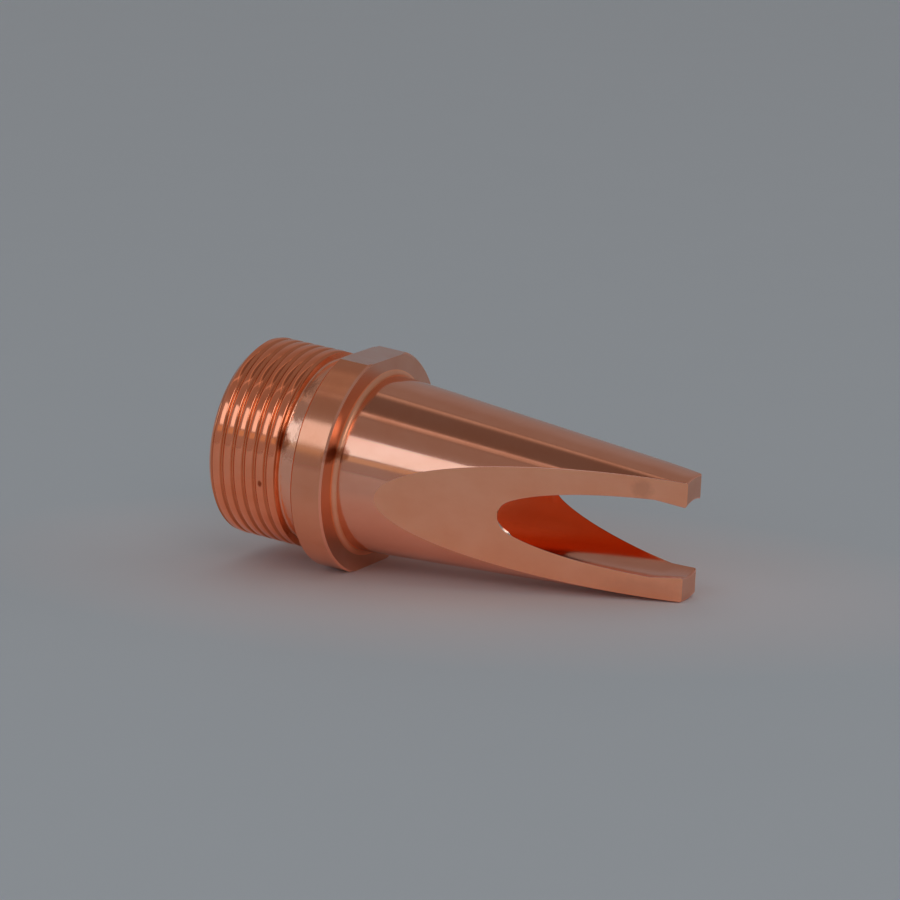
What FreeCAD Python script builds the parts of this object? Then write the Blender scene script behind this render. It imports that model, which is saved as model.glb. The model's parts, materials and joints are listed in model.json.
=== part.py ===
# Laser welding nozzle with a forked tip, turned and milled from one bar of copper.
# It lies on a table as it comes to rest: on the lower wrench flat and on the lower prong.
import FreeCAD
import Part
import Sketcher

import math
import os

# Lengths are in millimetres and angles in degrees.
SIZES = {
    "thread_diameter": 16.0,
    "thread_lead_in": 0.5,
    "spigot_length": 8.4,
    "spigot_wall": 1.3,
    "relief_depth": 0.7,
    "relief_width": 2.1,
    "relief_corner": 0.2,
    "bore_depth": 9.0,
    "bore_lead_in": 0.4,
    "flange_overhang": 1.0,
    "flange_thickness": 2.8,
    "flange_edge": 0.15,
    "flat_depth": 0.5,
    "flats_turn": 6.0,
    "nose_length": 27.8,
    "nose_wall": 1.15,
    "nose_root_fillet": 0.4,
    "outlet_diameter": 6.15,
    "outlet_pinch": 0.545,
    "outlet_length": 2.4,
    "tip_wall": 1.975,
    "tip_thickness": 2.45,
    "cheek_angle": 13.15,
}

# Places along the nozzle. Zero is the seat, the flange face that the threaded spigot stands on.
REAR = "-Sizes.spigot_length"
SEAT = "0"
SHOULDER = "Sizes.flange_thickness"
TIP = "(Sizes.flange_thickness + Sizes.nose_length)"
AXIS = "0"

# Radii, each worked out from the piece that it follows.
CREST = "(Sizes.thread_diameter / 2)"
RELIEF = f"({CREST} - Sizes.relief_depth)"
BORE = f"({RELIEF} - Sizes.spigot_wall)"
FLANGE = f"({CREST} + Sizes.flange_overhang)"
NOSE_ROOT = f"({BORE} + Sizes.nose_wall)"
OUTLET = "(Sizes.outlet_diameter / 2)"
NOSE_TIP = f"({OUTLET} + Sizes.tip_wall)"

# Half the width across the flats, and half the thickness between the cheeks at each end of the nose.
FLAT = f"({FLANGE} - Sizes.flat_depth)"
CHEEK_AT_TIP = "(Sizes.tip_thickness / 2)"
CHEEK_AT_ROOT = f"({CHEEK_AT_TIP} + Sizes.nose_length * tan(Sizes.cheek_angle))"

doc = FreeCAD.newDocument("laser_welding_nozzle")


def write_sheet():
    """Put each size in a cell of the sheet, with its name as the alias."""
    sheet = doc.addObject("Spreadsheet::Sheet", "Sizes")
    for row, (name, value) in enumerate(SIZES.items(), start=1):
        sheet.set(f"A{row}", name)
        sheet.set(f"B{row}", str(value))
        sheet.setAlias(f"B{row}", name)
    doc.recompute()
    return sheet


def origin_plane(body, role):
    """The body's own plane with the given role, such as XY_Plane."""
    for feature in body.Origin.OriginFeatures:
        if feature.Role == role:
            return feature
    raise ValueError(f"{body.Label} has no {role}")


def new_sketch(body, name, role):
    """An empty sketch on one of the body's origin planes."""
    sketch = body.newObject("Sketcher::SketchObject", name)
    sketch.AttachmentSupport = [(origin_plane(body, role), "")]
    sketch.MapMode = "FlatFace"
    return sketch


def draw_outline(sketch, name, corners):
    """Draw a closed outline through the corners, each a pair of expressions, and bind them."""
    points = []
    for across, up in corners:
        places = [float(sketch.evalExpression(text)) for text in (across, up)]
        points.append(FreeCAD.Vector(*places, 0))
    lines = []
    for start, end in zip(points, points[1:] + points[:1]):
        lines.append(sketch.addGeometry(Part.LineSegment(start, end), False))
    for line, following in zip(lines, lines[1:] + lines[:1]):
        sketch.addConstraint(Sketcher.Constraint("Coincident", line, 2, following, 1))
    for number, (line, point, corner) in enumerate(zip(lines, points, corners)):
        for kind, place, text in zip(("DistanceX", "DistanceY"), (point.x, point.y), corner):
            constraint = sketch.addConstraint(Sketcher.Constraint(kind, line, 1, place))
            label = f"{name}_{kind[-1].lower()}_{number}"
            sketch.renameConstraint(constraint, label)
            sketch.setExpression(f"Constraints.{label}", text)


def rim(feature, along, radius):
    """Name the circular edge of a turned feature at a place along its axis."""
    along, radius = (float(feature.evalExpression(text)) for text in (along, radius))
    for number, edge in enumerate(feature.Shape.Edges, start=1):
        curve = edge.Curve
        if not isinstance(curve, Part.Circle):
            continue
        if abs(curve.Center.x - along) < 1e-4 and abs(curve.Radius - radius) < 1e-4:
            return f"Edge{number}"
    raise ValueError(f"no rim at {along} with radius {radius}")


def turn_outside(body):
    """Turn the spigot, the flange and the tapered nose as one solid of revolution."""
    profile = new_sketch(body, "OutsideProfile", "XY_Plane")
    draw_outline(profile, "outside", [
        (REAR, AXIS),
        (REAR, CREST),
        ("-Sizes.relief_width", CREST),
        ("-Sizes.relief_width", RELIEF),
        (SEAT, RELIEF),
        (SEAT, FLANGE),
        (SHOULDER, FLANGE),
        (SHOULDER, NOSE_ROOT),
        (TIP, NOSE_TIP),
        (TIP, AXIS),
    ])
    turning = body.newObject("PartDesign::Revolution", "Turning")
    turning.Profile = profile
    turning.ReferenceAxis = (profile, ["H_Axis"])
    turning.Angle = 360
    doc.recompute()
    return turning


def dress_rims(body, turning):
    """Chamfer the thread's start and the flange's rims, and fillet the relief and the nose's root."""
    lead_in = body.newObject("PartDesign::Chamfer", "ThreadLeadIn")
    lead_in.Base = (turning, [rim(turning, REAR, CREST)])
    lead_in.setExpression("Size", "Sizes.thread_lead_in")
    doc.recompute()

    rims = body.newObject("PartDesign::Chamfer", "FlangeRims")
    rims.Base = (lead_in, [rim(lead_in, SEAT, FLANGE), rim(lead_in, SHOULDER, FLANGE)])
    rims.setExpression("Size", "Sizes.flange_edge")
    doc.recompute()

    corners = body.newObject("PartDesign::Fillet", "ReliefCorners")
    corners.Base = (rims, [rim(rims, SEAT, RELIEF), rim(rims, "-Sizes.relief_width", RELIEF)])
    corners.setExpression("Radius", "Sizes.relief_corner")
    doc.recompute()

    root = body.newObject("PartDesign::Fillet", "NoseRootFillet")
    root.Base = (corners, [rim(corners, SHOULDER, NOSE_ROOT)])
    root.setExpression("Radius", "Sizes.nose_root_fillet")
    doc.recompute()


def bore_out(body):
    """Bore straight to its depth, then taper to the outlet, which pinches in a little."""
    profile = new_sketch(body, "BoreProfile", "XY_Plane")
    draw_outline(profile, "bore", [
        (REAR, AXIS),
        (REAR, f"{BORE} + Sizes.bore_lead_in"),
        (f"{REAR} + Sizes.bore_lead_in", BORE),
        (f"{REAR} + Sizes.bore_depth", BORE),
        (f"{TIP} - Sizes.outlet_length", f"{OUTLET} + Sizes.outlet_pinch"),
        (TIP, OUTLET),
        (TIP, AXIS),
    ])
    boring = body.newObject("PartDesign::Groove", "Boring")
    boring.Profile = profile
    boring.ReferenceAxis = (profile, ["H_Axis"])
    boring.Angle = 360
    doc.recompute()


def cut_through(body, profile, name):
    """Cut the sketched areas away on both sides of their plane."""
    volume = body.Shape.Volume
    cut = body.newObject("PartDesign::Pocket", name)
    cut.Profile = profile
    cut.Type = "ThroughAll"
    cut.Midplane = True
    doc.recompute()
    if not body.Shape.Volume < volume:
        raise ValueError(f"{name} took nothing away")


def mill_flats(body):
    """Mill two wrench flats on the flange, turned a little about the axis from the fork."""
    profile = new_sketch(body, "FlatsProfile", "YZ_Plane")
    profile.setExpression("AttachmentOffset.Rotation.Angle", "-Sizes.flats_turn")
    for name, side in (("upper", ""), ("lower", "-")):
        draw_outline(profile, name, [
            (f"-{FLANGE}", f"{side}{FLAT}"),
            (FLANGE, f"{side}{FLAT}"),
            (FLANGE, f"{side}{FLANGE}"),
            (f"-{FLANGE}", f"{side}{FLANGE}"),
        ])
    cut_through(body, profile, "WrenchFlats")


def mill_cheeks(body):
    """Mill both sides of the nose to sloping cheeks, which open the bore and leave two prongs."""
    profile = new_sketch(body, "CheeksProfile", "XY_Plane")
    outside = f"({CHEEK_AT_ROOT} + {NOSE_ROOT})"
    for name, side in (("left", ""), ("right", "-")):
        draw_outline(profile, name, [
            (TIP, f"{side}{CHEEK_AT_TIP}"),
            (TIP, f"{side}{outside}"),
            (SHOULDER, f"{side}{outside}"),
            (SHOULDER, f"{side}{CHEEK_AT_ROOT}"),
        ])
    cut_through(body, profile, "Cheeks")


def lay_down(body, sheet):
    """Lay the nozzle on its lower flat and lower prong, with the origin under its middle."""
    drop = float(sheet.evalExpression(f"{FLAT} - {NOSE_TIP}"))
    dip = math.degrees(math.atan2(drop, sheet.nose_length))
    nose_down = FreeCAD.Rotation(FreeCAD.Vector(0, 1, 0), dip)
    flats_level = FreeCAD.Rotation(FreeCAD.Vector(1, 0, 0), sheet.flats_turn)
    body.Placement = FreeCAD.Placement(FreeCAD.Vector(), nose_down * flats_level)
    doc.recompute()
    box = body.Shape.optimalBoundingBox(False)
    body.Placement.Base = FreeCAD.Vector(-box.Center.x, -box.Center.y, -box.ZMin)
    doc.recompute()


def build_nozzle(sheet):
    """The whole nozzle, one solid with its axis along the body's own X."""
    body = doc.addObject("PartDesign::Body", "Nozzle")
    body.Label = "nozzle"
    dress_rims(body, turn_outside(body))
    bore_out(body)
    mill_flats(body)
    mill_cheeks(body)
    lay_down(body, sheet)
    return body


def check_and_export(body):
    """Stop on any failed feature, then write the solid to its own file."""
    for item in doc.Objects:
        if "Invalid" in item.State or "Error" in item.State:
            raise ValueError(f"{item.Label} failed")
    shape = body.Shape
    if shape.isNull() or not shape.isValid() or len(shape.Solids) != 1:
        raise ValueError(f"{body.Label} is not one valid solid")
    os.makedirs("parts", exist_ok=True)
    shape.exportStep(f"parts/{body.Label}.step")
    box = shape.optimalBoundingBox(False)
    centre = shape.Solids[0].CenterOfMass
    print(f"{body.Label}: volume {shape.Volume:.1f} mm3, centre of mass {centre}")
    print(f"box {box.XLength:.2f} x {box.YLength:.2f} x {box.ZLength:.2f} mm from z {box.ZMin:.3f}")


check_and_export(build_nozzle(write_sheet()))
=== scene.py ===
import json
import math

import bmesh
import bpy
import numpy as np
from bpy.props import FloatProperty, FloatVectorProperty, IntProperty, PointerProperty
from bpy.types import Operator, Panel, PropertyGroup
from mathutils import Matrix, Vector


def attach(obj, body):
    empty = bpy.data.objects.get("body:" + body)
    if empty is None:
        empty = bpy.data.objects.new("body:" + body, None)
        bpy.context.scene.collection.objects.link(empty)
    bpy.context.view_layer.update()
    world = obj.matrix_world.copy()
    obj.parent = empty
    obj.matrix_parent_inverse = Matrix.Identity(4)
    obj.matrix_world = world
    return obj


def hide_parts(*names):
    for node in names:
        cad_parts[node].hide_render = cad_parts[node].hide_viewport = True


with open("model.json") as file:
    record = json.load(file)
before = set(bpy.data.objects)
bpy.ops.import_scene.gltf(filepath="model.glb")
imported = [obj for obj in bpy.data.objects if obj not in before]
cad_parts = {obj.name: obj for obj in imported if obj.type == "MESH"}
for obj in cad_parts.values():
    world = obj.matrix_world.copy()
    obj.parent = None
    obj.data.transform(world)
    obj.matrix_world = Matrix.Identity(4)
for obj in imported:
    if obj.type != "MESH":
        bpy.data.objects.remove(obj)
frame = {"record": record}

bl_info = {
    "name": "Laser Welding Nozzle",
    "version": (1, 0, 0),
    "blender": (4, 5, 0),
    "location": "3D View > Sidebar > Nozzle",
    "description": "Builds a forked copper nozzle for a laser welding head, and a plain studio round it",
    "category": "Add Mesh",
}

MM = 0.001
# Points and edges closer than this count as touching.
CLOSE = 0.001 * MM
# The point that the camera looks at.
CAMERA_AIM = Vector((-1.3646, -0.4673, 10.1361)) * MM
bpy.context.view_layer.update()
MOUNTS = {mount["name"]: mount for mount in frame["record"]["mounts"]}

# The order of the finishes on the nozzle's mesh.
POLISHED, TURNED, FACED, THREADED, CUT_SHADED, MILLED, SAWN, BORED, GROOVED, BURRED = range(10)


def length(name, description, millimetres):
    """A length property, given in millimetres and kept in metres."""
    return FloatProperty(name=name, description=description, default=millimetres * MM, min=0.0, unit="LENGTH")


def angle(name, description, degrees):
    """An angle property, given in degrees and kept in radians."""
    return FloatProperty(name=name, description=description, default=math.radians(degrees), subtype="ANGLE")


def colour(name, description, red, green, blue):
    """A colour property in linear light."""
    return FloatVectorProperty(
        name=name, description=description, default=(red, green, blue), size=3,
        min=0.0, max=1.0, subtype="COLOR")


def fraction(name, description, value):
    """A plain number from nought to one."""
    return FloatProperty(
        name=name, description=description, default=value, min=0.0, max=1.0, subtype="FACTOR")


class NozzleSizes(PropertyGroup):
    """Sizes of the nozzle. Places along it are counted from the seat, the flange's rear face."""

    thread_diameter: length("Thread diameter", "Crest diameter of the thread", 16.0)
    thread_pitch: length("Thread pitch", "Distance from one turn to the next", 1.0)
    thread_crest: length("Thread crest", "Width of the flat on top of a turn", 0.64)
    thread_lead_in: length("Thread lead-in", "Chamfer at the thread's start", 0.5)
    spigot_length: length("Spigot length", "From the rear end to the seat", 8.4)
    spigot_wall: length("Spigot wall", "Wall between the bore and the relief groove", 1.3)
    relief_depth: length("Relief depth", "Depth of the groove between thread and seat", 0.7)
    relief_width: length("Relief width", "Width of that groove", 2.1)
    relief_corner: length("Relief corner", "Radius in both corners of that groove", 0.2)
    bore_depth: length("Bore depth", "How far the straight bore goes in from the rear", 9.0)
    bore_lead_in: length("Bore lead-in", "Chamfer at the rear of the bore", 0.4)
    flange_overhang: length("Flange overhang", "How far the flange stands out past the thread", 1.0)
    flange_thickness: length("Flange thickness", "Along the axis", 2.8)
    flange_edge: length("Flange edge", "Chamfer on both rims of the flange", 0.15)
    flat_depth: length("Flat depth", "How deep each wrench flat cuts into the flange", 0.5)
    flats_turn: angle("Flats turn", "Turn of the flats about the axis, from the fork", 6.0)
    nose_length: length("Nose length", "From the flange to the tip", 27.8)
    nose_wall: length("Nose wall", "Wall at the nose's root", 1.15)
    nose_root_fillet: length("Root fillet", "Radius where the nose meets the flange", 0.4)
    outlet_diameter: length("Outlet diameter", "Bore diameter at the tip", 6.15)
    outlet_pinch: length("Outlet pinch", "How much the bore closes over the last stretch", 0.545)
    outlet_length: length("Outlet length", "Length of that last stretch", 2.4)
    tip_wall: length("Tip wall", "Height of a prong's end", 1.975)
    tip_thickness: length("Tip thickness", "From cheek to cheek at the tip", 2.45)
    cheek_angle: angle("Cheek angle", "Slope of each cheek to the axis", 13.15)
    cheek_round: length("Cheek round", "Radius on the edge between cheek and cone", 0.06)
    mouth_round: length("Mouth round", "Rounding on the mouth's edge", 0.07)
    mouth_blunt: length("Mouth blunt", "From where the bore would meet the cheek to the mouth's start", 0.36)
    burr_width: length("Burr width", "Width of the burr on the mouth's lower edge", 0.16)
    burr_length: length("Burr length", "Length of that burr along the axis", 1.1)
    burr_lean: angle("Burr lean", "How far the burr leans from the cheek into the mouth", 38.4)
    tip_round: length("Tip round", "Radius round a prong's end", 0.14)
    quarter_columns: IntProperty(name="Columns", description="Faces in a quarter turn", default=64, min=8)


class CopperLook(PropertyGroup):
    """Colours and gloss of the copper's finishes."""

    polished: colour("Polished copper", "Cone and the flange's chamfers", 0.955, 0.638, 0.538)
    turned: colour("Turned copper", "Flange's round", 0.850, 0.540, 0.435)
    faced: colour("Faced copper", "Flange's two faces, the rear end and the prong ends", 0.700, 0.500, 0.430)
    threaded: colour("Threaded copper", "Crests of the thread", 0.955, 0.545, 0.425)
    # The cut tone is darker than the crests' tone and paints shade into the thread's flanks and roots.
    cut: colour("Cut copper", "Flanks and roots of the thread", 0.720, 0.410, 0.310)
    milled: colour("Milled copper", "Cheeks and root fillet", 0.980, 0.665, 0.540)
    sawn: colour("Sawn copper", "Wrench flats", 0.950, 0.800, 0.760)
    bored: colour("Bored copper", "Inside of the bore", 0.890, 0.598, 0.515)
    grooved: colour("Grooved copper", "Relief groove", 0.980, 0.675, 0.570)
    burred: colour("Burred copper", "Burr on the mouth's lower edge", 1.000, 0.860, 0.800)
    polished_roughness: fraction("Polished roughness", "Roughness of the cone and the chamfers", 0.09)
    turned_roughness: fraction("Turned roughness", "Roughness of the flange's round", 0.15)
    faced_roughness: fraction("Faced roughness", "Roughness of the flange's faces and the ends", 0.30)
    threaded_roughness: fraction("Crest roughness", "Roughness of the thread's crests", 0.09)
    cut_roughness: fraction("Cut roughness", "Roughness of the thread's flanks and roots", 0.14)
    milled_roughness: fraction("Milled roughness", "Roughness of the cheeks and the root fillet", 0.33)
    sawn_roughness: fraction("Sawn roughness", "Roughness of the flats", 0.38)
    bored_roughness: fraction("Bore roughness", "Roughness of the bore", 0.15)
    grooved_roughness: fraction("Groove roughness", "Roughness of the relief groove", 0.17)
    burred_roughness: fraction("Burr roughness", "Roughness of the burr", 0.16)


class StudioLook(PropertyGroup):
    """The floor, the light and the camera's place."""

    floor: colour("Floor", "Colour of the floor", 0.605, 0.618, 0.636)
    # Painted light: a warmer, brighter pool in the floor's colour under the nozzle stands in for the copper's
    # bounce light.
    painted_glow: colour("Glow", "Colour of the floor where the copper shines on it", 0.712, 0.676, 0.682)
    backdrop: colour("Backdrop", "Colour of the air round the nozzle", 0.209, 0.214, 0.219)
    ceiling: colour("Ceiling", "Colour of the air above the backdrop", 0.180, 0.177, 0.175)
    seam: colour("Seam", "Colour of the ceiling's dark seam", 0.115, 0.112, 0.112)
    rim: colour("Rim", "Colour of the bright rim round the dark hole overhead", 0.300, 0.288, 0.276)
    overhead: colour("Overhead", "Colour of the air overhead", 0.096, 0.090, 0.087)
    saturation: FloatProperty(name="Saturation", description="Depth of colour in the picture", default=2.2)
    azimuth: angle("Azimuth", "Turn of the camera from the nozzle's side towards its tip", 29.94)
    elevation: angle("Elevation", "Height of the camera above the horizon", 12.07)
    roll: angle("Roll", "Tilt of the camera about its own axis", -1.095)
    distance: length("Distance", "From the camera to the point it looks at", 354.14)
    focal_length: FloatProperty(
        name="Focal length", description="Lens on a sensor 36 mm wide", default=180.8,
        subtype="DISTANCE_CAMERA")


def nozzle_axes():
    """The nozzle's own axes in the frame, as three rows, and the seat's middle.

    The first axis runs against the thread mount's, from the rear to the tip. The other two follow
    the frame's Y and are turned by the flats' angle.
    """
    sizes = bpy.context.scene.nozzle_sizes
    along = -np.array(MOUNTS["thread"]["axis"])
    side = np.array([0.0, 1.0, 0.0])
    up = np.cross(along, side)
    turn = sizes.flats_turn
    across = math.cos(turn) * side + math.sin(turn) * up
    upward = math.cos(turn) * up - math.sin(turn) * side
    to_seat = sizes.relief_width + MOUNTS["thread"]["dims"]["length_mm"] * MM / 2
    seat = np.array(MOUNTS["thread"]["pos_m"]) + to_seat * along
    return np.stack([along, across, upward]), seat


class Skin:
    """Collects grids of points in the nozzle's own axes and joins them into one closed mesh."""

    def __init__(self):
        self.points = []
        self.faces = []
        self.finishes = []
        self.count = 0

    def add(self, grid, finish):
        """Add a grid of points, rows by columns, with one finish or one for each face."""
        rows, columns = grid.shape[:2]
        index = self.count + np.arange(rows * columns).reshape(rows, columns)
        quads = np.stack([index[:-1, :-1], index[:-1, 1:], index[1:, 1:], index[1:, :-1]], axis=-1)
        self.points.append(grid.reshape(-1, 3))
        self.faces.append(quads.reshape(-1, 4))
        self.finishes.append(np.broadcast_to(finish, quads.shape[:2]).reshape(-1))
        self.count += rows * columns

    def add_quarters(self, grid, finish):
        """Add a grid and its three mirror images across the nozzle's two middle planes."""
        for side in (1, -1):
            for up in (1, -1):
                self.add(grid * np.array([1, side, up]), finish)

    def mesh(self, name, axes, origin):
        """The joined mesh in the frame: grids that meet share their points, and normals face out."""
        mesh = bpy.data.meshes.new(name)
        points = np.concatenate(self.points) @ axes + origin
        mesh.from_pydata(points, [], np.concatenate(self.faces).tolist())
        mesh.polygons.foreach_set("material_index", np.concatenate(self.finishes))
        work = bmesh.new()
        work.from_mesh(mesh)
        bmesh.ops.remove_doubles(work, verts=work.verts, dist=2 * CLOSE)
        bmesh.ops.dissolve_degenerate(work, edges=work.edges, dist=CLOSE)
        bmesh.ops.recalc_face_normals(work, faces=work.faces)
        work.to_mesh(mesh)
        work.free()
        return mesh


# Rounds of the thread, in pitches.
CREST_ROUND = 0.12
ROOT_RADIUS = 0.08
# The lip at the mouth's start: how long its bell is, in mouth blunts, and how wide, in radians.
LIP_LENGTH = 1.6
LIP_WIDTH = 0.13


class Form:
    """The nozzle's outline: radii, places along the axis and the curves between them."""

    def __init__(self, sizes):
        self.sizes = sizes
        self.rear = -sizes.spigot_length
        self.thread_end = -sizes.relief_width
        self.shoulder = sizes.flange_thickness
        self.tip = sizes.flange_thickness + sizes.nose_length
        self.crest = sizes.thread_diameter / 2
        self.relief = self.crest - sizes.relief_depth
        self.bore = self.relief - sizes.spigot_wall
        self.flange = self.crest + sizes.flange_overhang
        self.flat = self.flange - sizes.flat_depth
        self.nose_root = self.bore + sizes.nose_wall
        self.outlet = sizes.outlet_diameter / 2
        self.nose_tip = self.outlet + sizes.tip_wall
        self.cone_slope = (self.nose_root - self.nose_tip) / sizes.nose_length
        self.straight_end = self.rear + sizes.bore_depth
        self.pinch_start = self.tip - sizes.outlet_length
        self.pinch_radius = self.outlet + sizes.outlet_pinch
        self.taper = (self.bore - self.pinch_radius) / (self.pinch_start - self.straight_end)
        self.cheek_slope = math.tan(sizes.cheek_angle)
        self.cheek_tip = sizes.tip_thickness / 2
        # The cheeks start where they are as wide as the cone, and the mouth where they reach the bore.
        cheek_at_zero = self.cheek_tip + self.tip * self.cheek_slope
        cone_at_zero = self.nose_root + self.cone_slope * self.shoulder
        bore_at_zero = self.bore + self.taper * self.straight_end
        self.cheeks_start = (cheek_at_zero - cone_at_zero) / (self.cheek_slope - self.cone_slope)
        self.feather = (cheek_at_zero - bore_at_zero) / (self.cheek_slope - self.taper)
        self.mouth_start = self.feather + sizes.mouth_blunt
        # The lip is as high as makes the bore meet the cheek just where the mouth starts.
        self.lip_reach = LIP_LENGTH * sizes.mouth_blunt
        self.lip = (self.cheek_slope - self.taper) * sizes.mouth_blunt * math.exp(1 / LIP_LENGTH**2)

    def cone_at(self, along):
        """Radius of the cone, which narrows evenly from its root to the tip."""
        return self.nose_root - self.cone_slope * (along - self.shoulder)

    def bore_at(self, along, off_edge=0.0):
        """Radius of the bore: straight, then an even taper, then the pinch at the outlet.

        A low lip blunts the feather edge where the mouth starts. It is a bell curve along the axis
        and another round it, by the angle from the mouth's edge.
        """
        plain = np.interp(
            along,
            [self.straight_end, self.pinch_start, self.tip],
            [self.bore, self.pinch_radius, self.outlet])
        lip = self.lip * np.exp(-((along - self.feather) / self.lip_reach) ** 2 - (off_edge / LIP_WIDTH) ** 2)
        return plain - lip

    def cheek_at(self, along):
        """Half the thickness from cheek to cheek."""
        return self.cheek_tip + (self.tip - along) * self.cheek_slope

    def thread_at(self, along, turned):
        """Radius of the thread, as a function of the place along the axis and the angle round it.

        The phase is the place in turns less the angle in turns. The depth is nought on the crest's
        flat, grows along the flanks at 60 degrees and ends in a round root. A soft maximum rounds the
        crest's edges. The chamfer at the start cuts across it.
        """
        pitch = self.sizes.thread_pitch
        half_crest = self.sizes.thread_crest / pitch / 2
        phase = along / pitch - turned / math.tau
        off_crest = np.abs(phase - np.round(phase))
        flank = math.sqrt(3) * (off_crest - half_crest)
        depth = (flank + np.hypot(flank, CREST_ROUND)) / 2
        root_start = 0.5 - ROOT_RADIUS * math.cos(math.pi / 6)
        root_depth = math.sqrt(3) * (0.5 - half_crest) - ROOT_RADIUS
        reach = np.sqrt(np.clip(ROOT_RADIUS**2 - (off_crest - 0.5) ** 2, 0, None))
        root = root_depth - ROOT_RADIUS + reach
        depth = np.where(off_crest > root_start, np.minimum(depth, root), depth)
        chamfer = self.crest - self.sizes.thread_lead_in + (along - self.rear)
        return np.minimum(self.crest - depth * pitch, chamfer)

    def flatten(self, radius, turned):
        """Radius after the two flats are cut: no point lies further out than the flats' planes."""
        off_flat = np.abs(np.sin(turned + self.sizes.flats_turn))
        return np.minimum(radius, self.flat / np.maximum(off_flat, 0.1))

    def flat_corners(self):
        """The four angles where the flats meet the flange's round."""
        reach = math.asin(self.flat / self.flange)
        turn = self.sizes.flats_turn
        return np.array([reach, math.pi - reach, math.pi + reach, math.tau - reach]) - turn


def around(along, radius, turned):
    """Points at a place along the axis, a radius and an angle, as one grid."""
    along, radius, turned = np.broadcast_arrays(along, radius, turned)
    return np.stack([along, radius * np.cos(turned), radius * np.sin(turned)], axis=-1)


def column_angles(form):
    """Even angles for a whole turn, and the same with the nearest ones moved to the flats' corners."""
    even = np.linspace(0, math.tau, 4 * form.sizes.quarter_columns + 1)
    snapped = even.copy()
    for corner in form.flat_corners():
        snapped[np.abs(even - corner).argmin()] = corner
    return even, snapped


def thread_skin(skin, form):
    """The thread: rows follow the helix, so that each turn's crest and root are rows of points.

    A row's place is its share of a turn plus the angle's share, held between the spigot's rear end
    and the relief groove, where surplus rows fall together and are merged.
    """
    even, snapped = column_angles(form)
    pitch = form.sizes.thread_pitch
    half_crest = form.sizes.thread_crest / pitch / 2
    crest = half_crest * np.array([0, 0.5, 0.75, 0.88, 0.97, 1.07, 1.18])
    half = np.concatenate([crest, np.linspace(crest[-1], 0.5, 5)[1:]])
    shares = np.concatenate([half, 1 - half[-2:0:-1]])
    first = math.floor(form.rear / pitch) - 1
    last = math.ceil(form.thread_end / pitch)
    turns = (np.arange(first, last)[:, None] + shares).ravel()[:, None]
    along = np.clip(pitch * (turns + snapped / math.tau), form.rear, form.thread_end)
    middle = (turns[1:] + turns[:-1]) / 2
    on_crest = np.abs(middle - np.round(middle)) < half_crest
    # Flanks and roots take the darker cut tone: painted shade in the thread's grooves.
    skin.add(around(along, form.thread_at(along, snapped), snapped), np.where(on_crest, THREADED, CUT_SHADED))


def arc(middle_along, middle_radius, radius, start, end, steps):
    """Points of an arc in the outline's plane, angles counted from the axis towards the rim."""
    angles = np.linspace(start, end, steps + 1)
    along = middle_along + radius * np.cos(angles)
    return np.stack([along, middle_radius + radius * np.sin(angles)], axis=-1)


def flange_outline(form):
    """The outline from the thread's end to the cone: relief groove, flange, root fillet."""
    sizes = form.sizes
    corner, edge, root = sizes.relief_corner, sizes.flange_edge, sizes.nose_root_fillet
    floor = form.relief + corner
    lean = math.atan(form.cone_slope)
    root_middle = form.cone_at(form.shoulder + root) + root / math.cos(lean)
    rim = form.flange - edge
    return np.concatenate([
        [[form.thread_end, form.crest], [form.thread_end, (form.crest + floor) / 2]],
        arc(form.thread_end + corner, floor, corner, math.pi, 1.5 * math.pi, 4),
        arc(-corner, floor, corner, 1.5 * math.pi, math.tau, 4),
        [[0, (floor + rim) / 2], [0, rim], [edge, form.flange]],
        [[form.shoulder / 3, form.flange], [form.shoulder * 2 / 3, form.flange]],
        [[form.shoulder - edge, form.flange], [form.shoulder, rim], [form.shoulder, (rim + root_middle) / 2]],
        arc(form.shoulder + root, root_middle, root, math.pi, 1.5 * math.pi - lean, 8),
    ])


def flange_skin(skin, form):
    """The outline carried round the axis. The thread's end limits the groove's wall, and the flats
    limit the flange. Its faces are faced, its round is turned, its chamfers are polished, the groove is
    grooved and the fillet is milled.
    """
    even, snapped = column_angles(form)
    outline = flange_outline(form)
    along, radius = outline[:, :1], outline[:, 1:]
    thread = form.thread_at(form.thread_end, snapped)
    radius = np.where(along < -form.sizes.relief_width / 2, np.minimum(radius, thread), radius)
    radius = np.where(along >= 0, form.flatten(radius, snapped), radius)
    grid = around(along, radius, snapped)
    reach = radius * np.abs(np.sin(snapped + form.sizes.flats_turn))
    on_flat = (reach > form.flat - CLOSE) & (along >= 0)
    flat_faces = on_flat[:-1, :-1] & on_flat[1:, :-1] & on_flat[:-1, 1:] & on_flat[1:, 1:]
    step = np.abs(np.diff(outline, axis=0))
    slanted = (step.min(axis=1) > CLOSE) & (outline[1:, 0] > 0)
    finish = np.where(slanted, POLISHED, np.where(step[:, 0] < CLOSE, FACED, TURNED))
    finish[outline[1:, 0] > form.shoulder + CLOSE] = MILLED
    finish[outline[:-1, 0] < -CLOSE] = GROOVED
    skin.add(grid, np.where(flat_faces, SAWN, finish[:, None]))


def cone_root_skin(skin, form):
    """The cone before the cheeks start. Its columns ease back from the flats' corners to even angles."""
    even, snapped = column_angles(form)
    start = flange_outline(form)[-1, 0]
    share = np.linspace(0, 1, 7)[:, None]
    along = start + (form.cheeks_start - start) * share
    turned = snapped + (even - snapped) * share
    skin.add(around(along, form.cone_at(along), turned), POLISHED)


def rear_skin(skin, form):
    """The spigot's flat rear end, from the thread's chamfer in to the bore's lead-in."""
    even, snapped = column_angles(form)
    share = np.linspace(0, 1, 4)[:, None]
    outer = form.thread_at(form.rear, snapped)
    inner = form.bore + form.sizes.bore_lead_in
    turned = snapped + (even - snapped) * share
    skin.add(around(form.rear, outer + (inner - outer) * share, turned), FACED)


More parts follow.
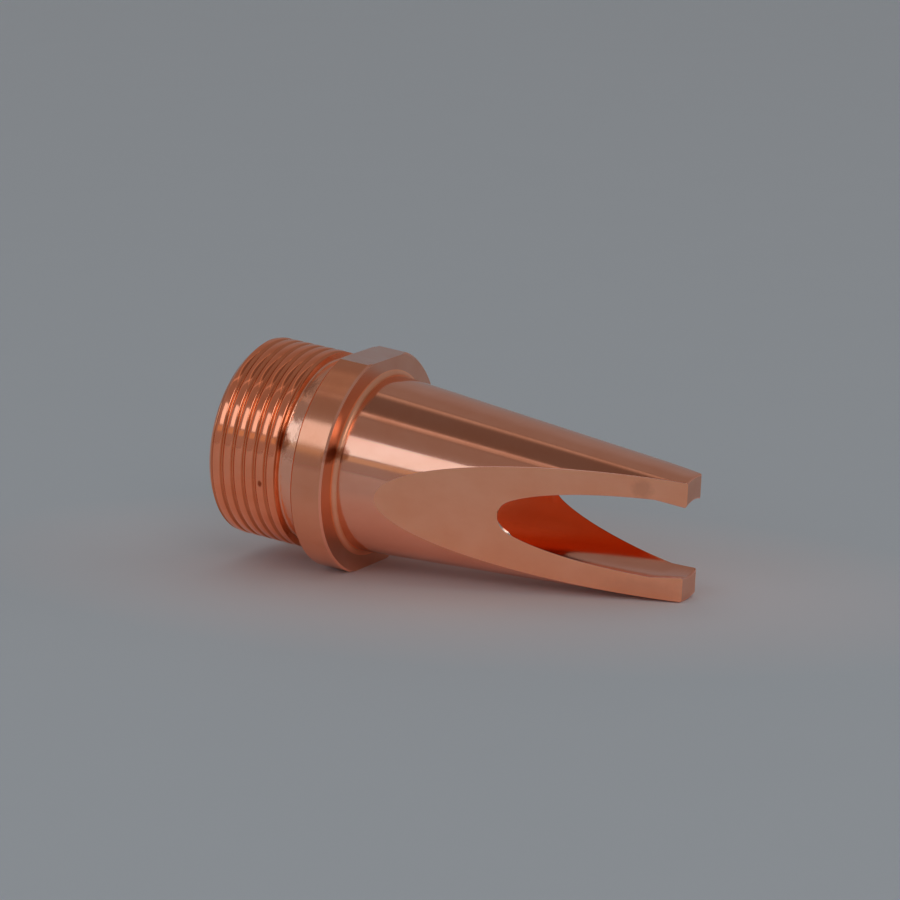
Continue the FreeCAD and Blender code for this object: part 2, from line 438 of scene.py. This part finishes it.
def bore_skin(skin, form):
    """A quarter of the bore from its lead-in to the mouth's start."""
    sizes = form.sizes
    along = np.concatenate([
        [form.rear], np.linspace(form.rear + sizes.bore_lead_in, form.straight_end, 6),
        np.linspace(form.straight_end, form.feather - 2 * form.lip_reach, 7)[1:],
        np.linspace(form.feather - 2 * form.lip_reach, form.mouth_start, 7)[1:]])[:, None]
    turned = np.linspace(0, math.pi / 2, sizes.quarter_columns + 1)
    radius = form.bore_at(along, turned)
    radius[0] += sizes.bore_lead_in
    skin.add_quarters(around(along, radius, turned), BORED)


def bend(start, corner, end, steps):
    """A quadratic curve from start to end that leans towards the corner, for each row at once."""
    share = np.linspace(0, 1, steps + 1)[None, :, None]
    start, corner, end = start[:, None], corner[:, None], end[:, None]
    return (1 - share) ** 2 * start + 2 * share * (1 - share) * corner + share**2 * end


# Faces across a cheek, across a rounded edge, and from that edge's start to the burr's crest.
CHEEK_COLUMNS = 10
ROUND_COLUMNS = 5
BURR_COLUMNS = 2
# Where the burr is widest, in its own lengths from the mouth's start.
BURR_MIDDLE = 0.55
# The far cheek's mouth is rounder than the near one's by this factor.
FAR_MOUTH = 1.6


def prong_quarter(form, along, inset=0.0, mouth_round=None, burr=0.0):
    """A quarter of the nose's section at each place along it, as three grids of rows.

    In a section the cheek is the upright line at half the thickness. It runs up to the cone's arc,
    whose height there is the root of radius squared less thickness squared, and down to the bore's
    arc in the same way, or to the middle where it misses the bore. Both corners are rounded: the
    round takes as much of the line as of the arc. The inset draws all of it in, for the tip's round,
    and the mouth's round can be given for each place. A burr is a ridge on that round: it leans
    into the mouth by the burr's lean and is as wide as given for each place.
    """
    sizes = form.sizes
    mouth_round = sizes.mouth_round if mouth_round is None else mouth_round
    along = np.asarray(along, dtype=float)
    inset = np.broadcast_to(inset, along.shape)
    cheek = form.cheek_at(along) - inset
    cone = form.cone_at(along) - inset
    bore = form.bore_at(along) + inset
    top = np.sqrt(np.clip(cone**2 - cheek**2, 0, None))
    foot = np.sqrt(np.clip(bore**2 - cheek**2, 0, None))
    outer_angle, inner_angle = np.arctan2(top, cheek), np.arctan2(foot, cheek)
    outer_round = sizes.cheek_round * np.tan(outer_angle / 2)
    inner_round = np.minimum(mouth_round * np.minimum(5 * np.sin(inner_angle), 1), 0.4 * foot)

    def point(across, up):
        return np.stack([along, across, up], axis=-1)

    def quarter_angles(start):
        share = np.linspace(0, 1, sizes.quarter_columns + 1)
        return start[:, None] + (math.pi / 2 - start[:, None]) * share

    outer_arc = around(along[:, None], cone[:, None], quarter_angles(outer_angle + outer_round / cone))
    turned = quarter_angles(inner_angle + inner_round / bore)
    off_edge = turned - inner_angle[:, None]
    inner_arc = around(along[:, None], form.bore_at(along[:, None], off_edge) + inset[:, None], turned)
    high, low = point(cheek, top - outer_round), point(cheek, foot + inner_round)
    outer_bend = bend(high, point(cheek, top), outer_arc[:, 0], ROUND_COLUMNS)
    inner_bend = bend(low, point(cheek, foot), inner_arc[:, 0], ROUND_COLUMNS)
    ridge = np.interp(np.arange(ROUND_COLUMNS + 1), [0, BURR_COLUMNS, ROUND_COLUMNS], [0, 1, 0])
    lean = np.array([0, math.sin(sizes.burr_lean), math.cos(sizes.burr_lean)])
    inner_bend = inner_bend - np.broadcast_to(burr, along.shape)[:, None, None] * ridge[:, None] * lean
    share = np.linspace(0, 1, CHEEK_COLUMNS + 1)[None, :, None]
    cheek_face = high[:, None] + (low - high)[:, None] * share
    outer = np.concatenate([outer_bend[:, :-1], outer_arc], axis=1)
    inner = np.concatenate([inner_bend[:, :-1], inner_arc], axis=1)
    return outer, cheek_face, inner


def closing_in(start, end, steps):
    """Places from start to end that lie closer together near the start, where the edges turn fast."""
    return start + (end - start) * np.linspace(0, 1, steps + 1) ** 2


def nose_skin(skin, form):
    """The nose from the cheeks' start to the tip, quarter by quarter.

    Before the mouth it has an outside and a bore, after it two prongs. The prongs' ends are rounded
    by drawing the section in along a quarter circle, and closed by a grid from the outside to the bore.
    """
    outer, cheek, inner = prong_quarter(form, closing_in(form.cheeks_start, form.mouth_start, 30))
    skin.add_quarters(outer, POLISHED)
    skin.add_quarters(cheek, MILLED)

    sizes = form.sizes
    tip_round = sizes.tip_round
    turn = np.linspace(0, math.pi / 2, 5)
    along = np.concatenate([
        closing_in(form.mouth_start, form.pinch_start, 36),
        np.linspace(form.pinch_start, form.tip - tip_round, 5)[1:-1],
        form.tip - tip_round * (1 - np.sin(turn))])
    inset = np.zeros_like(along)
    inset[-turn.size:] = tip_round * (1 - np.cos(turn))
    share = np.linspace(0, 1, CHEEK_COLUMNS + 1)[:, None, None]
    off_burr = (along - form.mouth_start) / sizes.burr_length - BURR_MIDDLE
    burr = sizes.burr_width * np.clip(1 - (2 * off_burr) ** 4, 0, 1)
    for side in (1, -1):
        for up in (1, -1):
            burr_here = burr if (side, up) == (-1, -1) else 0 * burr
            mouth_round = sizes.mouth_round * (FAR_MOUTH if side > 0 else 1.0)
            outer, cheek, inner = prong_quarter(form, along, inset, mouth_round, burr_here)
            end = outer[-1] + (inner[-1] - outer[-1]) * share
            inner_finish = np.full((inner.shape[0] - 1, inner.shape[1] - 1), BORED)
            inner_finish[burr_here[1:] > 0, :BURR_COLUMNS] = BURRED
            for grid, finish in ((outer, POLISHED), (cheek, MILLED), (inner, inner_finish), (end, FACED)):
                skin.add(grid * np.array([1, side, up]), finish)


def crease(mesh, form, axes, origin):
    """Shade smooth, with sharp edges where faces turn by more than 30 degrees and at the flats' corners."""
    mesh.shade_smooth()
    mesh.set_sharp_from_angle(angle=math.radians(30))
    points = np.zeros(len(mesh.vertices) * 3)
    mesh.vertices.foreach_get("co", points)
    own = (points.reshape(-1, 3) - origin) @ axes.T
    turned = np.arctan2(own[:, 2], own[:, 1])
    radius = np.hypot(own[:, 1], own[:, 2])
    reach = radius * np.abs(np.sin(turned + form.sizes.flats_turn))
    close = 2 * CLOSE
    corner = (np.abs(reach - form.flat) < close) & (np.abs(radius - form.flange) < close)
    ends = np.zeros(len(mesh.edges) * 2, dtype=np.int32)
    mesh.edges.foreach_get("vertices", ends)
    sharp = np.zeros(len(mesh.edges), dtype=bool)
    mesh.attributes["sharp_edge"].data.foreach_get("value", sharp)
    sharp |= corner[ends.reshape(-1, 2)].all(axis=1)
    mesh.attributes["sharp_edge"].data.foreach_set("value", sharp)


class Nodes:
    """Short ways to add and join shader nodes in one material."""

    def __init__(self, name):
        self.material = bpy.data.materials.new(name)
        self.material.use_nodes = True
        self.tree = self.material.node_tree
        self.shader = self.tree.nodes["Principled BSDF"]
        self.place = None

    def add(self, kind, **values):
        """Add a node. Values name its own settings, or else its inputs."""
        node = self.tree.nodes.new("ShaderNode" + kind)
        for name, value in values.items():
            if hasattr(node, name):
                setattr(node, name, value)
            else:
                self.feed(node, name.replace("_", " "), value)
        return node

    def feed(self, node, name, value):
        """Join a socket to an input, or set the input's own value."""
        socket = node.inputs[int(name) if name.isdigit() else name]
        if isinstance(value, bpy.types.NodeSocket):
            self.tree.links.new(value, socket)
        else:
            socket.default_value = value

    def math(self, operation, first, second=0.5):
        """One sum on sockets or numbers."""
        node = self.add("Math", operation=operation)
        self.feed(node, "0", first)
        self.feed(node, "1", second)
        return node.outputs[0]

    def ramp(self, value, low, high, start=0.0, end=1.0):
        """Carry a value from one range over to another, held at the ends."""
        node = self.add("MapRange")
        for name, setting in (
                ("Value", value), ("From Min", low), ("From Max", high), ("To Min", start), ("To Max", end)):
            self.feed(node, name, setting)
        return node.outputs["Result"]

    def blend(self, share, first, second):
        """Mix two colours."""
        node = self.add("Mix", data_type="RGBA")
        for number, value in ((0, share), (6, first), (7, second)):
            if isinstance(value, bpy.types.NodeSocket):
                self.tree.links.new(value, node.inputs[number])
            else:
                node.inputs[number].default_value = value
        return node.outputs[2]

    def own_axes(self):
        """Object coordinates turned to the nozzle's own axes, in metres from the seat's middle."""
        if self.place is None:
            axes, seat = nozzle_axes()
            turn = self.add("Mapping", vector_type="TEXTURE")
            turn.inputs["Location"].default_value = seat
            turn.inputs["Rotation"].default_value = Matrix(axes.T).to_euler()
            self.tree.links.new(self.add("TexCoord").outputs["Object"], turn.inputs["Vector"])
            self.place = turn.outputs[0]
        return self.place

    def lathe_axes(self):
        """The place along the nozzle and the distance from its middle line, for marks that run round it."""
        split = self.add("SeparateXYZ")
        self.tree.links.new(self.own_axes(), split.inputs[0])
        off_middle = self.add("CombineXYZ")
        self.feed(off_middle, "Y", split.outputs["Y"])
        self.feed(off_middle, "Z", split.outputs["Z"])
        distance = self.add("VectorMath", operation="LENGTH")
        self.tree.links.new(off_middle.outputs[0], distance.inputs[0])
        joined = self.add("CombineXYZ")
        self.feed(joined, "X", split.outputs["X"])
        self.feed(joined, "Y", distance.outputs["Value"])
        return joined.outputs[0]

    def noise(self, grains, detail=2.0, rough=0.5, lathe=False):
        """Noise with its own number of grains to the millimetre along each of the nozzle's axes."""
        stretch = self.add("Mapping", vector_type="POINT")
        stretch.inputs["Scale"].default_value = [count / MM for count in grains]
        place = self.lathe_axes() if lathe else self.own_axes()
        self.tree.links.new(place, stretch.inputs["Vector"])
        node = self.add("TexNoise", Scale=1.0, Detail=detail, Roughness=rough)
        self.tree.links.new(stretch.outputs[0], node.inputs["Vector"])
        return node.outputs["Fac"]

    def spot(self, middle, half_sizes, ragged):
        """1 inside an ellipsoid in millimetres, 0 outside it, with a soft edge that noise makes ragged."""
        around_it = self.add("Mapping", vector_type="TEXTURE")
        around_it.inputs["Location"].default_value = [place * MM for place in middle]
        around_it.inputs["Scale"].default_value = [size * MM for size in half_sizes]
        self.tree.links.new(self.own_axes(), around_it.inputs["Vector"])
        distance = self.add("VectorMath", operation="LENGTH")
        self.tree.links.new(around_it.outputs[0], distance.inputs[0])
        return self.ramp(self.math("ADD", distance.outputs["Value"], ragged), 1.55, 0.85)


# Stains and pits, and dark reflections painted in as stains: where they lie in the nozzle's
# own axes, their half sizes, both in millimetres, and how dark they are.
STAINS_AND_DARK_REFLECTIONS = (
    ((-3.40, -7.97, -0.70), (0.16, 0.20, 0.24), 0.85),
    # Painted dark reflection in the relief groove, just below its highlight.
    ((-1.95, -6.95, 2.95), (0.45, 0.60, 0.85), 0.75),
    # Painted dark reflection on the flange's front face.
    ((2.90, -7.44, 2.93), (0.50, 1.00, 0.60), 0.85),
    # Painted dark reflection at the cone's root, beside the flange's front face.
    ((3.30, -6.50, 2.85), (0.45, 0.45, 0.55), 0.70),
    ((27.20, -2.05, 3.90), (0.75, 0.50, 0.70), 0.22),
    ((29.60, -0.90, -3.00), (0.12, 0.12, 0.12), 0.80),
    # A weak darker patch over the lower prong's cheek near the tip.
    ((27.60, -1.80, -4.40), (3.60, 1.00, 0.80), 0.10),
)


def copper(name, tone, roughness, marks, height, cloud, lathe=False):
    """Bright copper: tool marks in the bump, tarnish that clouds its colour and gloss, and the stains, among
    them painted dark reflections.

    Marks are grains to the millimetre along each axis, height is how deep they are in metres, cloud
    is how far the tarnish darkens the copper, and on a lathe the marks run round the nozzle.
    """
    work = Nodes(name)
    shader = work.shader
    shader.inputs["Metallic"].default_value = 1.0
    fine = work.noise(marks, 3.0, 0.6, lathe)
    tarnish = work.ramp(work.noise((0.26, 0.42, 0.42), 4.0, 0.6), 0.35, 0.72)
    darker = tuple(channel * fade for channel, fade in zip(tone, (0.86, 0.78, 0.74))) + (1.0,)
    stain_and_reflection_colour = tuple(channel * fade for channel, fade in zip(tone, (0.24, 0.15, 0.12))) + (1.0,)
    ragged = work.math("SUBTRACT", work.noise((2.2, 2.2, 2.2), 3.0, 0.6), 0.35)
    surface = work.blend(work.math("MULTIPLY", tarnish, cloud), tuple(tone) + (1.0,), darker)
    # Each spot darkens the colour: real stains and pits, and painted dark reflections.
    for middle, half_sizes, depth in STAINS_AND_DARK_REFLECTIONS:
        share_of_stain_or_reflection = work.math("MULTIPLY", work.spot(middle, half_sizes, ragged), depth)
        surface = work.blend(share_of_stain_or_reflection, surface, stain_and_reflection_colour)
    work.feed(shader, "Base Color", surface)
    gloss = work.math("ADD", work.math("MULTIPLY", fine, 0.08), roughness - 0.04)
    work.feed(shader, "Roughness", work.math("ADD", gloss, work.math("MULTIPLY", tarnish, 0.04)))
    bump = work.add("Bump", Strength=1.0, Distance=height)
    work.feed(bump, "Height", fine)
    work.feed(shader, "Normal", bump.outputs["Normal"])
    return work.material


def nozzle_finishes():
    """The finishes, in the order that the faces' numbers mean."""
    look = bpy.context.scene.copper_look
    return [
        copper("polished_copper", look.polished, look.polished_roughness, (8, 0.1, 0.1), 0.0008 * MM, 0.5),
        copper("turned_copper", look.turned, look.turned_roughness, (7, 7, 7), 0.0015 * MM, 0.5, True),
        copper("faced_copper", look.faced, look.faced_roughness, (7, 7, 7), 0.002 * MM, 0.5, True),
        copper("threaded_copper", look.threaded, look.threaded_roughness, (5, 0.5, 0.5), 0.001 * MM, 0.6),
        copper("cut_shaded_copper", look.cut, look.cut_roughness, (5, 0.5, 0.5), 0.002 * MM, 0.6),
        copper("milled_copper", look.milled, look.milled_roughness, (3, 0.6, 0.6), 0.003 * MM, 0.5),
        copper("sawn_copper", look.sawn, look.sawn_roughness, (1.5, 1.5, 1.5), 0.004 * MM, 0.6),
        copper("bored_copper", look.bored, look.bored_roughness, (6, 6, 6), 0.001 * MM, 0.5, True),
        copper("grooved_copper", look.grooved, look.grooved_roughness, (3.5, 1.2, 1.2), 0.030 * MM, 0.4),
        copper("burred_copper", look.burred, look.burred_roughness, (3, 3, 3), 0.003 * MM, 0.2),
    ]


class NOZZLE_OT_build(Operator):
    """Build the nozzle: thread, relief groove, flange with its flats, cone, cheeks, bore and prongs"""

    bl_idname = "nozzle.build"
    bl_label = "Build Nozzle"

    def execute(self, context):
        form = Form(context.scene.nozzle_sizes)
        axes, seat = nozzle_axes()
        skin = Skin()
        for part in (thread_skin, flange_skin, cone_root_skin, rear_skin, bore_skin, nose_skin):
            part(skin, form)
        mesh = skin.mesh("copper_nozzle", axes, seat)
        crease(mesh, form, axes, seat)
        for material in nozzle_finishes():
            mesh.materials.append(material)
        nozzle = bpy.data.objects.new("copper_nozzle", mesh)
        context.scene.collection.objects.link(nozzle)
        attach(nozzle, "root")
        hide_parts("nozzle")
        return {"FINISHED"}


def add_floor(look):
    """A round floor, fine rings near the nozzle and wide ones far out: radius grows by equal shares."""
    turned = np.linspace(0, math.tau, 65)
    radius = np.concatenate([[0], np.geomspace(0.02, 6.0, 24)])[:, None]
    grid = np.stack([radius * np.cos(turned), radius * np.sin(turned), 0 * radius * turned], axis=-1)
    skin = Skin()
    skin.add(grid, 0)
    mesh = skin.mesh("studio_floor", np.eye(3), np.zeros(3))
    floor = bpy.data.objects.new("studio_floor", mesh)
    bpy.context.scene.collection.objects.link(floor)
    work = Nodes("pale_floor")
    place = work.add("TexCoord").outputs["Object"]
    grain = work.add("TexNoise", Scale=90.0)
    work.feed(grain, "Vector", place)
    tone = tuple(look.floor)
    darker = tuple(channel * 0.985 for channel in tone)
    plain = work.blend(grain.outputs["Fac"], tone + (1.0,), darker + (1.0,))
    # A pool of painted light, standing in for the copper's bounce light, fades out round an oval under the
    # nozzle.
    oval = work.add("Mapping", vector_type="TEXTURE", Scale=(0.021, 0.012, 1.0))
    work.feed(oval, "Vector", place)
    distance = work.add("VectorMath", operation="LENGTH")
    work.feed(distance, "0", oval.outputs[0])
    near = work.ramp(distance.outputs["Value"], 2.2, 0.7)
    work.feed(work.shader, "Base Color", work.blend(near, plain, tuple(look.painted_glow) + (1.0,)))
    work.shader.inputs["Roughness"].default_value = 0.7
    work.shader.inputs["Specular IOR Level"].default_value = 0.2
    mesh.materials.append(work.material)


def add_light(name, direction, distance, width, height, radiance, tint=(1, 1, 1), glossy=True, across=None):
    """A flat light that faces the nozzle from a direction. Its power is radiance times area times pi.

    Its width lies level, or as near to the vector across as it can.
    """
    light = bpy.data.lights.new(name, "AREA")
    light.shape = "RECTANGLE"
    light.size = width
    light.size_y = height
    light.energy = radiance * width * height * math.pi
    light.color = tint
    lamp = bpy.data.objects.new(name, light)
    bpy.context.scene.collection.objects.link(lamp)
    towards = Vector(direction).normalized()
    wide = Vector(across) if across else Vector((0, 0, 1)).cross(towards)
    wide = (wide - wide.dot(towards) * towards).normalized()
    turned = Matrix((wide, towards.cross(wide), towards)).transposed().to_4x4()
    lamp.matrix_world = Matrix.Translation(towards * distance) @ turned
    lamp.visible_camera = False
    lamp.visible_glossy = glossy
    return lamp


def heading(azimuth, elevation):
    """A direction from two angles in degrees: azimuth from +Y towards +X, and height above the horizon."""
    turn, rise = math.radians(azimuth), math.radians(elevation)
    return (math.sin(turn) * math.cos(rise), math.cos(turn) * math.cos(rise), math.sin(rise))


def add_lights():
    """A key softbox with a warm skirt stands front left, another one right, and a thin strip hangs above.

    The fills light the floor alone, because the copper doesn't mirror them.
    """
    add_light("key_softbox", heading(-163, 30.9), 0.8, 0.49, 0.31, 0.74, (0.76, 0.92, 1.0))
    add_light("key_skirt", heading(-163, 15.6), 0.8, 0.70, 0.08, 0.13, (1.0, 0.88, 0.62))
    add_light("right_softbox", heading(138, 36), 0.9, 0.38, 0.38, 1.25)
    add_light("thin_strip", (-0.25, -0.25, 0.935), 0.9, 1.2, 0.04, 0.20, across=(1, 0, 0))
    add_light("floor_fill", (0.15, 0.1, 1.0), 1.4, 1.8, 1.8, 0.31, glossy=False)
    for azimuth in (150, 60, -60):
        add_light("low_fill", heading(azimuth, 22), 1.2, 1.2, 0.6, 0.34, glossy=False)


def add_world(look):
    """The air, by the height of the direction looked along: a backdrop, a ceiling and a dark hole overhead.

    Heights are sines of the angle above the horizon, and the hole is turned a little to the rear.
    """
    world = bpy.data.worlds.new("studio_air")
    world.use_nodes = True
    bpy.context.scene.world = world
    tree = world.node_tree
    place = tree.nodes.new("ShaderNodeTexCoord")
    split = tree.nodes.new("ShaderNodeSeparateXYZ")
    ramp = tree.nodes.new("ShaderNodeValToRGB")
    lean = tree.nodes.new("ShaderNodeMapping")
    lean.inputs["Rotation"].default_value = (math.radians(2), 0, 0)
    tree.links.new(place.outputs["Generated"], lean.inputs["Vector"])
    tree.links.new(lean.outputs[0], split.inputs[0])
    tree.links.new(split.outputs["Z"], ramp.inputs["Fac"])
    tree.links.new(ramp.outputs["Color"], tree.nodes["Background"].inputs["Color"])
    bands = (
        (0.600, look.backdrop), (0.760, look.ceiling), (0.893, look.ceiling), (0.898, look.seam),
        (0.902, look.seam), (0.908, look.rim), (0.922, look.rim), (0.946, look.overhead))
    stops = ramp.color_ramp.elements
    stops.remove(stops[0])
    for height, tone in bands:
        stop = stops.new(height)
        stop.color = tuple(tone) + (1.0,)
    stops[-1].color = tuple(look.overhead) + (1.0,)


def add_camera(look):
    """The camera looks at the nozzle's middle from its azimuth and height, a little rolled."""
    camera = bpy.data.cameras.new("camera")
    camera.lens = look.focal_length
    camera.sensor_width = 36.0
    camera.clip_start = 0.01
    holder = bpy.data.objects.new("camera", camera)
    bpy.context.scene.collection.objects.link(holder)
    turn, rise = look.azimuth, look.elevation
    ahead = Vector((-math.sin(turn) * math.cos(rise), math.cos(turn) * math.cos(rise), -math.sin(rise)))
    level = ahead.cross(Vector((0, 0, 1))).normalized()
    above = level.cross(ahead)
    right = level * math.cos(look.roll) + above * math.sin(look.roll)
    up = right.cross(ahead)
    holder.matrix_world = Matrix.Translation(CAMERA_AIM - ahead * look.distance) @ Matrix(
        (right, up, -ahead)).transposed().to_4x4()
    bpy.context.scene.camera = holder


def grade_colours(scene, saturation):
    """Plain view colours. Saturation is raised on display values, between a gamma and its inverse."""
    scene.view_settings.view_transform = "Standard"
    scene.use_nodes = True
    tree = scene.node_tree
    tree.nodes.clear()
    display = tree.nodes.new("CompositorNodeGamma")
    display.inputs["Gamma"].default_value = 1 / 2.2
    grade = tree.nodes.new("CompositorNodeColorCorrection")
    grade.master_saturation = saturation
    linear = tree.nodes.new("CompositorNodeGamma")
    linear.inputs["Gamma"].default_value = 2.2
    picture = tree.nodes.new("CompositorNodeRLayers")
    result = tree.nodes.new("CompositorNodeComposite")
    chain = [picture, display, grade, linear, result]
    for source, target in zip(chain, chain[1:]):
        tree.links.new(source.outputs["Image"], target.inputs["Image"])


class NOZZLE_OT_studio(Operator):
    """Set up the floor, the lights, the air and the camera"""

    bl_idname = "nozzle.studio"
    bl_label = "Set Up Studio"

    def execute(self, context):
        look = context.scene.studio_look
        add_floor(look)
        add_lights()
        add_world(look)
        add_camera(look)
        grade_colours(context.scene, look.saturation)
        return {"FINISHED"}


class NOZZLE_PT_sidebar(Panel):
    """Lists the nozzle's operators and sizes"""

    bl_idname = "NOZZLE_PT_sidebar"
    bl_label = "Laser Welding Nozzle"
    bl_space_type = "VIEW_3D"
    bl_region_type = "UI"
    bl_category = "Nozzle"

    def draw(self, context):
        for operator in OPERATORS:
            self.layout.operator(operator.bl_idname)
        for group in (context.scene.nozzle_sizes, context.scene.copper_look, context.scene.studio_look):
            column = self.layout.column(align=True)
            for name in group.__annotations__:
                column.prop(group, name)


GROUPS = {"nozzle_sizes": NozzleSizes, "copper_look": CopperLook, "studio_look": StudioLook}
OPERATORS = (NOZZLE_OT_build, NOZZLE_OT_studio)
CLASSES = (*GROUPS.values(), *OPERATORS, NOZZLE_PT_sidebar)


def register():
    for item in CLASSES:
        bpy.utils.register_class(item)
    for name, group in GROUPS.items():
        setattr(bpy.types.Scene, name, PointerProperty(type=group))


def unregister():
    for name in GROUPS:
        delattr(bpy.types.Scene, name)
    for item in reversed(CLASSES):
        bpy.utils.unregister_class(item)


def main():
    """Build everything."""
    register()
    bpy.ops.nozzle.build()
    bpy.ops.nozzle.studio()


if __name__ == "__main__":
    main()
